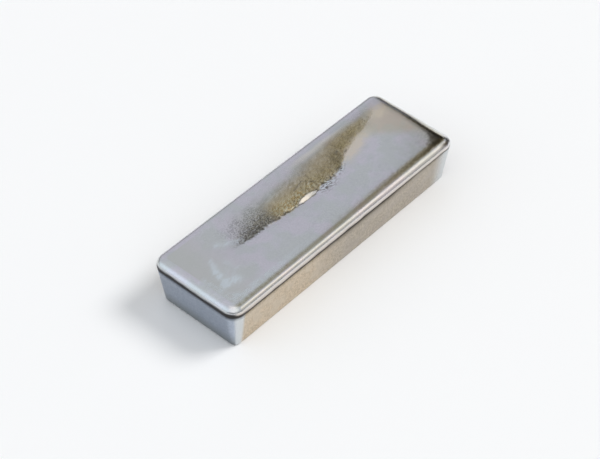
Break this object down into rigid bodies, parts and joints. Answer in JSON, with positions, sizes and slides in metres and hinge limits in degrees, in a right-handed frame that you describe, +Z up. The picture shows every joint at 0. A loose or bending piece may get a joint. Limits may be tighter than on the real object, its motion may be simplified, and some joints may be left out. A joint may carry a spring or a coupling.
{
  "type": "indium ingot",
  "caption": "Small cast ingot of silvery metal: a tapered bar with rounded corners, a rounded top edge and a shrinkage valley in its top.",
  "frame": {"origin": "middle of the flat base", "axes": "+X along the length of the bar, +Y across it, +Z up through the poured top"},
  "size_m": [0.139, 0.0462, 0.0235],
  "materials": {
    "indium": "bright as cast, lightly tarnished"
  },
  "bodies": {
    "root": {"ingot": "indium"}
  },
  "joints": []
}
